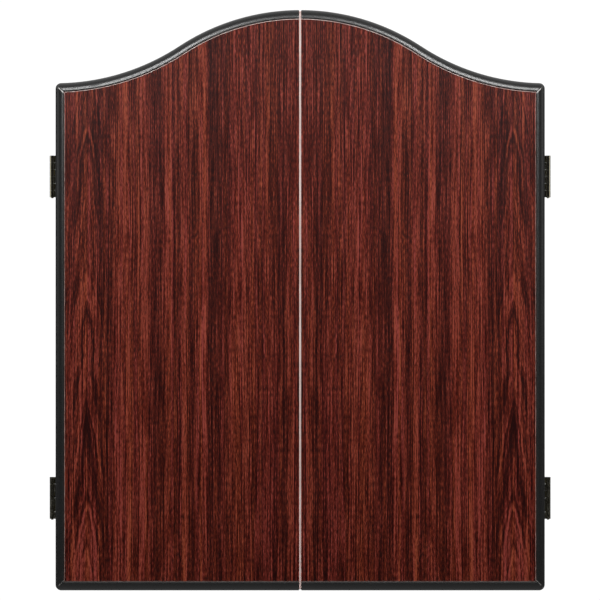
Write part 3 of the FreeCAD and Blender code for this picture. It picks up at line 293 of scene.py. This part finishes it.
PEBBLE_SMOOTH = 0.4
WRINKLES = 2.6  # fine wrinkles across one pebble
LIP_DULLER = 0.6  # roughness added to the lip of the bottom moulding
LIP_FULL_BELOW = -0.1  # the dulling is whole under this height, and fades out up to z = 0
CREASE_CORE = 0.35  # mm to either side of a mitre that carry the painted highlight at full strength
CREASE_HALF = 0.8  # mm to either side of a mitre where the painted highlight ends
CORNER_ROUND = 4  # mm from the outer corner that are rounded, and so have no crease
CREASE_TOP = 0.95  # strength of the painted highlight at the top corners
CREASE_BOTTOM = 0.25


def pebbled(name, dark, light, cell, depth, roughness, shine):
    """Black vinyl with a leather grain: pebbles about 'cell' mm wide and 'depth' mm high.

    Returns the graph, with its colour and roughness, so that a caller can add to them.
    """
    g = Graph(name, Specular_IOR_Level=shine)
    place = g.add("TexCoord").outputs["Object"]
    pebble = g.cells(place, PER_METRE / cell, PEBBLE_SMOOTH)
    wrinkles = g.noise(place, 2, 0.6, 0.0, WRINKLES * PER_METRE / cell)
    height = g.maths("MULTIPLY_ADD", wrinkles, 0.35, g.spread(pebble, 0.0, 0.8, 1.0, 0.0, True))
    patches = g.noise(place, 2, 0.5, 0.0, 28)
    # Painted shade: the hollows between the pebbles are darker than their tops. Random patches also vary
    # the tone.
    tone = g.maths("MULTIPLY_ADD", height, 0.5, g.maths("MULTIPLY", patches, 0.6))
    base = g.ramp(tone, [(0.25, dark), (0.95, light)])
    gloss = g.spread(height, 0.2, 1.1, roughness + 0.06, roughness - 0.04)
    g.paint("Base Color", base)
    g.paint("Roughness", gloss)
    g.bump(height, depth * MM)
    return g, base, gloss


def grained_moulding():
    """Glossy grain, with a dull lip along the bottom and a pale painted highlight on the creases of the
    mitres, strong at the top corners and faint at the bottom.
    """
    dark, light = colour(3, 3, 3), colour(15, 15, 14)
    g, base, gloss = pebbled("black_grained_moulding", dark, light, 0.9, 0.045, 0.29, 0.9)
    x, y, z = g.place()
    bottom = g.spread(z, LIP_FULL_BELOW, 0.0, LIP_DULLER, 0.0)
    lip = g.maths("MULTIPLY", g.spread(g.facing()[2], 0.1, 0.4), bottom)
    g.paint("Roughness", g.maths("ADD", gloss, lip))

    # Minus the distance inside the outer side of the door.
    low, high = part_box("left_door_side_moulding")
    outward = g.maths("ADD", g.maths("ABSOLUTE", x), low.x)
    rounded_off = g.spread(outward, -CORNER_ROUND * MM, (1 - CORNER_ROUND) * MM, 1.0, 0.0)
    # Painted highlight: a pale colour along each mitre crease stands in for the light the crease catches.
    # Noise breaks it into flecks, and it is stronger at the top corners than at the bottom.
    highlight_flecks = g.spread(g.noise(g.scaled(900, 900, 900), 2), 0.40, 0.52)
    with_crease_highlight = base
    for edge, way, strength in ((high.z, -1.0, CREASE_TOP), (low.z, 1.0, CREASE_BOTTOM)):
        # A mitre is where the distances inside the side and inside the end are the same.
        inside_end = g.maths("MULTIPLY_ADD", z, way, -way * edge)
        off_crease = g.maths("ABSOLUTE", g.maths("ADD", outward, inside_end))
        crease = g.spread(off_crease, CREASE_CORE * MM, CREASE_HALF * MM, strength, 0.0)
        crease_highlight = g.maths("MULTIPLY", g.maths("MULTIPLY", crease, highlight_flecks), rounded_off)
        with_crease_highlight = g.mix(crease_highlight, with_crease_highlight, colour(238, 236, 232))
    g.paint("Base Color", with_crease_highlight)
    return g.material


def carcass():
    dark, light = colour(15, 15, 14), colour(36, 35, 33)
    g, base, gloss = pebbled("black_carcass", dark, light, 1.3, 0.08, 0.48, 0.5)
    return g.material


def fibreboard():
    g = Graph("fibreboard", Specular_IOR_Level=0.2)
    fibres = g.noise(g.scaled(900, 300, 900), 5, 0.7)
    flecks = g.spread(g.noise(g.scaled(400, 400, 400), 2), 0.62, 0.70)
    body = g.ramp(fibres, [(0.3, colour(128, 96, 66)), (0.7, colour(176, 142, 104))])
    g.paint("Base Color", g.mix(g.maths("MULTIPLY", flecks, 0.5), body, colour(92, 62, 40)))
    g.paint("Roughness", g.spread(fibres, 0.3, 0.7, 0.85, 0.95))
    g.bump(fibres, 0.12 * MM, 0.7)
    return g.material


def backing():
    """Black foil on the inside of a door, with a faint linen emboss."""
    g = Graph("black_backing", Specular_IOR_Level=0.4)
    linen = g.maths("ADD", g.noise(g.scaled(1500, 1500, 120), 2), g.noise(g.scaled(120, 1500, 1500), 2))
    patches = g.noise(g.scaled(22, 22, 22), 3)
    g.paint("Base Color", g.ramp(patches, [(0.3, colour(20, 20, 20)), (0.7, colour(34, 33, 32))]))
    g.paint("Roughness", g.spread(linen, 0.8, 1.2, 0.45, 0.62))
    g.bump(linen, 0.05 * MM, 0.6)
    return g.material


def white_band():
    g = Graph("white_band", Specular_IOR_Level=0.45)
    grime = g.noise(g.scaled(60, 60, 24), 4, 0.65)
    specks = g.spread(g.noise(g.scaled(700, 700, 260), 2), 0.62, 0.72)
    clean = g.ramp(grime, [(0.3, colour(214, 184, 176)), (0.65, colour(240, 216, 210))])
    g.paint("Base Color", g.mix(g.maths("MULTIPLY", specks, 0.35), clean, colour(170, 140, 130)))
    g.paint("Roughness", g.spread(grime, 0.3, 0.7, 0.55, 0.38))
    g.bump(specks, 0.03 * MM, 0.6)
    return g.material


def chalkboard():
    """Matt black board with wiped chalk on it."""
    g = Graph("chalkboard", Specular_IOR_Level=0.3)
    wiped = g.noise(g.scaled(9, 9, 30), 5, 0.6, 0.6)
    strokes = g.noise(g.scaled(14, 14, 160), 3, 0.6)
    dust = g.maths("MULTIPLY", g.spread(wiped, 0.42, 0.75), g.spread(strokes, 0.3, 0.7))
    grit = g.noise(g.scaled(1400, 1400, 1400), 2)
    board = g.ramp(grit, [(0.3, colour(24, 26, 25)), (0.7, colour(36, 38, 37))])
    g.paint("Base Color", g.mix(g.maths("MULTIPLY", dust, 0.35), board, colour(140, 142, 140)))
    g.paint("Roughness", g.spread(dust, 0.0, 0.6, 0.72, 0.92))
    g.bump(grit, 0.04 * MM, 0.6)
    return g.material


def chalk_paint():
    """White screen printing for the figures and lines on the scoreboards."""
    g = Graph("scoreboard_print", Specular_IOR_Level=0.3)
    wear = g.noise(g.scaled(420, 420, 420), 4, 0.65)
    g.paint("Base Color", g.ramp(wear, [(0.32, colour(150, 150, 146)), (0.5, colour(226, 226, 220))]))
    g.paint("Roughness", g.spread(wear, 0.3, 0.7, 0.75, 0.6))
    g.bump(wear, 0.03 * MM, 0.5)
    return g.material


def moulded_plastic():
    g = Graph("black_plastic", Specular_IOR_Level=0.5)
    spark = g.noise(g.scaled(1600, 1600, 1600), 2, 0.6)
    flow = g.noise(g.scaled(35, 35, 120), 3, 0.55)
    g.paint("Base Color", g.ramp(flow, [(0.3, colour(18, 18, 18)), (0.7, colour(32, 32, 31))]))
    g.paint("Roughness", g.spread(g.maths("ADD", spark, flow), 0.8, 1.2, 0.34, 0.48))
    g.bump(spark, 0.03 * MM, 0.6)
    return g.material


def worn_metal(name, deep, pale, tarnish, roughness, wear):
    """Plated metal with brushed lines, dull patches and fine scratches."""
    g = Graph(name, Metallic=1.0)
    patches = g.noise(g.scaled(160, 160, 160), 4, 0.6)
    brushed = g.noise(g.scaled(1500, 1500, 90), 2, 0.6)
    scratches = g.spread(g.noise(g.scaled(300, 300, 2200), 3, 0.7, 1.5), 0.60, 0.66)
    shade = g.maths("MULTIPLY_ADD", brushed, 0.4, g.maths("MULTIPLY", patches, 0.6))
    plating = g.ramp(shade, [(0.35, deep), (0.62, pale)])
    g.paint("Base Color", g.mix(g.spread(patches, 0.56, 0.74, 0.0, 0.7), plating, tarnish))
    dull = g.spread(patches, 0.4, 0.7, roughness, roughness + wear)
    g.paint("Roughness", g.maths("MULTIPLY_ADD", scratches, wear, dull))
    g.bump(g.maths("SUBTRACT", brushed, scratches), 0.02 * MM, 0.5)
    return g.material


def brass():
    deep, pale, tarnish = colour(226, 216, 180), colour(248, 244, 224), colour(170, 150, 112)
    return worn_metal("brass", deep, pale, tarnish, 0.08, 0.05)


def zinc():
    deep, pale, tarnish = colour(150, 154, 160), colour(204, 206, 208), colour(104, 102, 98)
    return worn_metal("zinc_steel", deep, pale, tarnish, 0.30, 0.14)


def ferrite():
    g = Graph("ferrite", Specular_IOR_Level=0.4)
    grit = g.noise(g.scaled(1100, 1100, 1100), 4, 0.7)
    g.paint("Base Color", g.ramp(grit, [(0.3, colour(34, 34, 36)), (0.7, colour(62, 61, 62))]))
    g.paint("Roughness", g.spread(grit, 0.3, 0.7, 0.55, 0.75))
    g.bump(grit, 0.05 * MM, 0.7)
    return g.material


def rubber():
    g = Graph("rubber", Specular_IOR_Level=0.35)
    bloom = g.noise(g.scaled(500, 500, 500), 3, 0.6)
    g.paint("Base Color", g.ramp(bloom, [(0.35, colour(24, 24, 24)), (0.7, colour(52, 51, 49))]))
    g.paint("Roughness", g.spread(bloom, 0.3, 0.7, 0.68, 0.88))
    g.bump(bloom, 0.04 * MM, 0.6)
    return g.material


def beech():
    g = Graph("beech", Specular_IOR_Level=0.3)
    rays = g.noise(g.scaled(900, 900, 120), 3, 0.6)
    g.paint("Base Color", g.ramp(rays, [(0.3, colour(176, 132, 88)), (0.7, colour(216, 178, 132))]))
    g.paint("Roughness", g.spread(rays, 0.3, 0.7, 0.6, 0.75))
    g.bump(rays, 0.05 * MM, 0.6)
    return g.material


MAKERS = {
    "rosewood_print": rosewood,
    "fibreboard": fibreboard,
    "black_backing": backing,
    "white_band": white_band,
    "black_grained_moulding": grained_moulding,
    "chalkboard": chalkboard,
    "black_plastic": moulded_plastic,
    "brass": brass,
    "zinc_steel": zinc,
    "ferrite": ferrite,
    "rubber": rubber,
    "beech": beech,
    "black_carcass": carcass,
}


def paint_nodes():
    """Give every CAD node the material of its slot in the record."""
    made = {slot: make() for slot, make in MAKERS.items()}
    for part in frame["record"]["subparts"]:
        data = nodes[part["node"]].data
        data.materials.clear()
        data.materials.append(made[part["material_slot"]])


# Scoreboard printing --------------------------------------------------------------------------

FIGURE_TALL = 0.030
FIGURE_WIDE = 0.017
FIGURE_GAP = 0.005
STROKE = 0.0030
PRINT_HIGH = 0.10 * MM  # how far the printing stands off the board
COLUMN_RULE_HIGH = 0.9  # share of PRINT_HIGH: rules that cross are not in one plane
ROW_RULE_HIGH = 0.8
ROW_LABELS = ("20", "19", "18", "17", "16", "15")
ROW_PITCH = 0.051
RING_RADII = (0.0140, 0.0065)  # of the bull, in the row under the figures
RULE = 0.0014
FRAME_INSET = 0.007
COLUMN_HALF = 0.030  # half of the middle column that holds the figures
CURVE_STEPS = 18


def arc(centre, radius_x, radius_y, start, end):
    """Points on part of an ellipse, from one angle to another in degrees."""
    points = []
    for step in range(CURVE_STEPS + 1):
        angle = math.radians(start + (end - start) * step / CURVE_STEPS)
        points.append((centre[0] + radius_x * math.cos(angle), centre[1] + radius_y * math.sin(angle)))
    return points


def figure_strokes():
    """Strokes of each figure; each is (closed, points), with x and y as shares of the figure's size."""
    return {
        "0": [(True, arc((0.5, 0.5), 0.5, 0.5, 0, 360)[:-1])],
        "1": [(False, [(0.22, 0.80), (0.55, 1.0), (0.55, 0.0)])],
        "2": [(False, arc((0.5, 0.70), 0.46, 0.30, 165, -35) + [(0.04, 0.0), (1.0, 0.0)])],
        "5": [(False, [(0.92, 1.0), (0.14, 1.0), (0.10, 0.56)] + arc((0.46, 0.32), 0.50, 0.32, 118, -145))],
        "6": [(True, arc((0.5, 0.31), 0.46, 0.31, 0, 360)[:-1]),
              (False, arc((1.02, 0.32), 0.98, 0.68, 180, 108))],
        "7": [(False, [(0.04, 1.0), (0.96, 1.0), (0.36, 0.0)])],
        "8": [(True, arc((0.5, 0.74), 0.38, 0.25, 0, 360)[:-1]),
              (True, arc((0.5, 0.28), 0.47, 0.28, 0, 360)[:-1])],
        "9": [(True, arc((0.5, 0.69), 0.46, 0.31, 0, 360)[:-1]),
              (False, arc((-0.02, 0.68), 0.98, 0.68, 0, -72))],
    }


def add_ribbon(mesh, points, wide, high, closed):
    """Add one stroke along the points to (vertices, faces): a closed solid 'high' thick on the plane."""
    vertices, faces = mesh
    base = len(vertices)
    count = len(points)
    for index, point in enumerate(points):
        if closed:
            before, after = points[index - 1], points[(index + 1) % count]
        else:
            before, after = points[max(index - 1, 0)], points[min(index + 1, count - 1)]
        here = Vector(point)
        first = (here - Vector(before)).normalized() if before != point else None
        second = (Vector(after) - here).normalized() if after != point else None
        first, second = first or second, second or first
        along = (first + second).normalized()
        # A bend is mitred, so it reaches out further, but to no more than twice as far.
        reach = wide / 2 / max(along.dot(first), 0.5)
        aside = Vector((-along.y, along.x)) * reach
        for offset, level in ((aside, 0.0), (-aside, 0.0), (-aside, high), (aside, high)):
            vertices.append((here.x + offset.x, here.y + offset.y, level))
    for index in range(count if closed else count - 1):
        here = base + 4 * index
        there = base + 4 * ((index + 1) % count)
        for corner in range(4):
            following = (corner + 1) % 4
            faces.append((here + corner, there + corner, there + following, here + following))
    if not closed:
        end = base + 4 * (count - 1)
        faces.append((base, base + 1, base + 2, base + 3))
        faces.append((end + 3, end + 2, end + 1, end))


def scoreboard_print(name, body, material):
    """Figures, a bull ring and ruled lines on one scoreboard, read from behind the shut door."""
    low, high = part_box(name + "_scoreboard")
    middle_x = (low.x + high.x) / 2
    middle_z = (low.z + high.z) / 2
    half_wide = (high.x - low.x) / 2 - FRAME_INSET
    half_tall = (high.z - low.z) / 2 - FRAME_INSET
    mesh = ([], [])

    def rule(points, high_share, closed=False, wide=RULE):
        add_ribbon(mesh, points, wide, PRINT_HIGH * high_share, closed)

    corners = [(side * half_wide, end * half_tall) for side, end in ((-1, -1), (1, -1), (1, 1), (-1, 1))]
    rule(corners, 1.0, closed=True)
    inside_wide = half_wide - RULE
    inside_tall = half_tall - RULE
    for x in (-COLUMN_HALF, COLUMN_HALF):
        rule([(x, -inside_tall), (x, inside_tall)], COLUMN_RULE_HIGH)
    rows = len(ROW_LABELS) + 1
    strokes = figure_strokes()
    for row in range(rows):
        centre = ((rows - 1) / 2 - row) * ROW_PITCH
        if row:
            line = centre + ROW_PITCH / 2
            rule([(-inside_wide, line), (inside_wide, line)], ROW_RULE_HIGH)
        if row == rows - 1:
            for radius in RING_RADII:
                rule(arc((0, centre), radius, radius, 0, 360)[:-1], 1.0, closed=True, wide=STROKE)
            continue
        for place, figure in enumerate(ROW_LABELS[row]):
            left = (place - 1) * (FIGURE_WIDE + FIGURE_GAP) + FIGURE_GAP / 2
            for closed, points in strokes[figure]:
                placed = [(left + px * FIGURE_WIDE, centre + (py - 0.5) * FIGURE_TALL) for px, py in points]
                add_ribbon(mesh, placed, STROKE, PRINT_HIGH, closed)

    # The reader stands behind the shut door, so what is to the right in print lies towards -x.
    vertices = [(middle_x - px, high.y + level, middle_z + pz) for px, pz, level in mesh[0]]
    data = bpy.data.meshes.new(name + "_scoreboard_print")
    data.from_pydata(vertices, [], mesh[1])
    data.validate()
    data.materials.append(material)
    printing = bpy.data.objects.new(name + "_scoreboard_print", data)
    bpy.context.scene.collection.objects.link(printing)
    make_outward(printing)
    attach(printing, body)


def make_outward(thing):
    grown = bmesh.new()
    grown.from_mesh(thing.data)
    bmesh.ops.recalc_face_normals(grown, faces=grown.faces)
    grown.to_mesh(thing.data)
    grown.free()


def print_scoreboards():
    material = chalk_paint()
    scoreboard_print("left_door", "door_left", material)
    scoreboard_print("right_door", "door_right", material)


# Stage and lights -----------------------------------------------------------------------------

FLOOR_Z = -1.73  # the bull's-eye hangs 1.73 m above the floor
FLOOR_HALF = 18.0
FLOOR_GREYS = (0.43, 0.46)
FLOOR_GLOW = 0.75  # only for the camera, so that the floor is as pale as the background
BACKDROP = 1.05  # brightness of the background, only for the camera
# Studio brightness: from one direction to another, as parts of a unit vector, and the value at each.
STUDIO_ALONG_Y = (-0.95, 0.3, 0.03, 1.0)
STUDIO_ALONG_Z = (0.05, 0.8, 0.03, 0.75)
KEY_PLACE = (0.52, -1.25, 0.72)  # the key light on the right; its twin is on the left
KEY_TARGET = (0.1, 0.0, 0.05)
KEY_SIZE = 0.42
KEY_POWER = 10.5
SIDE_PANEL = (2.2, -0.2, 0.86)  # middle of the dim panel on the right; its twin is on the left
SIDE_PANEL_SIZE = 1.6
SIDE_PANEL_POWER = 4.5


def add_floor():
    mesh = bpy.data.meshes.new("floor")
    half = FLOOR_HALF
    corners = [(x, y, FLOOR_Z) for x, y in ((-half, -half), (half, -half), (half, half), (-half, half))]
    mesh.from_pydata(corners, [], [(0, 1, 2, 3)])
    floor = bpy.data.objects.new("floor", mesh)
    bpy.context.scene.collection.objects.link(floor)
    g = Graph("pale_floor", Roughness=0.9)
    shade = g.noise(g.scaled(0.6, 0.6, 0.6), 2)
    dark, light = [(grey, grey, grey, 1) for grey in FLOOR_GREYS]
    g.paint("Base Color", g.ramp(shade, [(0.3, dark), (0.7, light)]))
    g.shader.inputs["Emission Color"].default_value = (1, 1, 1, 1)
    seen = g.add("LightPath").outputs["Is Camera Ray"]
    g.paint("Emission Strength", g.spread(seen, 0, 1, 0.0, FLOOR_GLOW))
    # Seen from below, the floor lets the view through.
    under = g.add("NewGeometry").outputs["Backfacing"]
    clear = g.add("BsdfTransparent").outputs[0]
    shown = g.add("MixShader", [under, g.shader.outputs[0], clear]).outputs[0]
    output = next(n for n in g.tree.nodes if n.type == "OUTPUT_MATERIAL")
    g.feed(output.inputs["Surface"], shown)
    mesh.materials.append(g.material)


def add_world():
    """White behind the object, and a studio that is bright above and dark behind the camera."""
    world = bpy.data.worlds.new("studio")
    bpy.context.scene.world = world
    world.use_nodes = True
    tree = world.node_tree
    tree.nodes.clear()

    def link(source, node, socket):
        tree.links.new(source, node.inputs[socket])

    def spread(source, limits):
        node = tree.nodes.new("ShaderNodeMapRange")
        for socket, value in zip(node.inputs[1:5], limits):
            socket.default_value = value
        link(source, node, 0)
        return node.outputs[0]

    split = tree.nodes.new("ShaderNodeSeparateXYZ")
    link(tree.nodes.new("ShaderNodeTexCoord").outputs["Generated"], split, 0)
    strength = tree.nodes.new("ShaderNodeMath")
    strength.operation = "MULTIPLY"
    link(spread(split.outputs["Y"], STUDIO_ALONG_Y), strength, 0)
    link(spread(split.outputs["Z"], STUDIO_ALONG_Z), strength, 1)
    studio = tree.nodes.new("ShaderNodeBackground")
    studio.inputs["Color"].default_value = (1, 1, 1, 1)
    link(strength.outputs[0], studio, "Strength")
    seen = tree.nodes.new("ShaderNodeBackground")
    seen.inputs["Color"].default_value = (1, 1, 1, 1)
    seen.inputs["Strength"].default_value = BACKDROP
    mix = tree.nodes.new("ShaderNodeMixShader")
    link(tree.nodes.new("ShaderNodeLightPath").outputs["Is Camera Ray"], mix, 0)
    link(studio.outputs[0], mix, 1)
    link(seen.outputs[0], mix, 2)
    link(mix.outputs[0], tree.nodes.new("ShaderNodeOutputWorld"), "Surface")


def add_light(name, place, target, shape, size, power):
    data = bpy.data.lights.new(name, "AREA")
    data.shape = shape
    data.size = size
    data.energy = power
    light = bpy.data.objects.new(name, data)
    light.location = place
    light.rotation_euler = (Vector(target) - Vector(place)).to_track_quat("-Z", "Y").to_euler()
    light.visible_camera = False
    bpy.context.scene.collection.objects.link(light)


def add_lights():
    for side, name in ((-1, "left"), (1, "right")):
        key, target = [(side * x, y, z) for x, y, z in (KEY_PLACE, KEY_TARGET)]
        add_light("key_" + name, key, target, "DISK", KEY_SIZE, KEY_POWER)
        x, y, z = SIDE_PANEL
        panel, target = (side * x, y, z), (0.0, y, z)
        add_light("panel_" + name, panel, target, "SQUARE", SIDE_PANEL_SIZE, SIDE_PANEL_POWER)


# Build ----------------------------------------------------------------------------------------

scene = bpy.context.scene
scene.view_settings.view_transform = "Standard"
add_camera()
paint_nodes()
print_scoreboards()
add_floor()
add_world()
add_lights()
